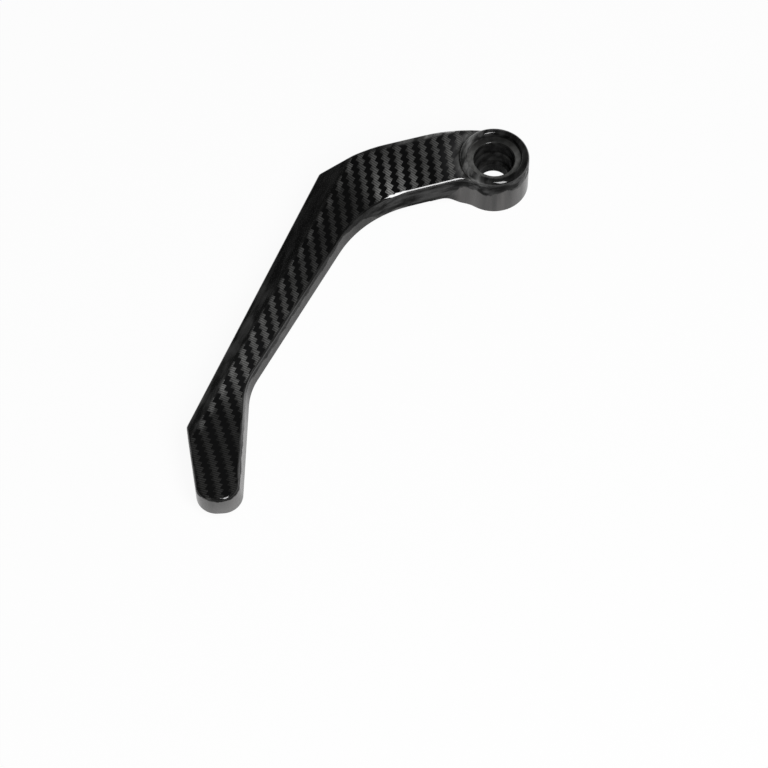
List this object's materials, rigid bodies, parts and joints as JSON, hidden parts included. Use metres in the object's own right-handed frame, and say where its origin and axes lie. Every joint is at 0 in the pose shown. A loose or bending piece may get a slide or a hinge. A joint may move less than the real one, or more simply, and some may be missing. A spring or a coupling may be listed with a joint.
{
  "type": "brake lever guard",
  "caption": "Bent guard arm that shields a brake lever: a bored eye bolts to the bar end and a bevelled run with a rounded, turned-in tip stands in front of the lever.",
  "frame": {"origin": "on the eye's axis, at the eye's bar-side face", "axes": "+Z along the eye's bore, out of the recessed seat; +X along the run, from the knee to the tip; -Y towards the outer edge of the run"},
  "size_m": [0.1841, 0.0707, 0.0174],
  "materials": {
    "arm": "clear-coated twill print, black on dark grey"
  },
  "bodies": {
    "root": {"guard_arm": "arm"}
  },
  "joints": []
}
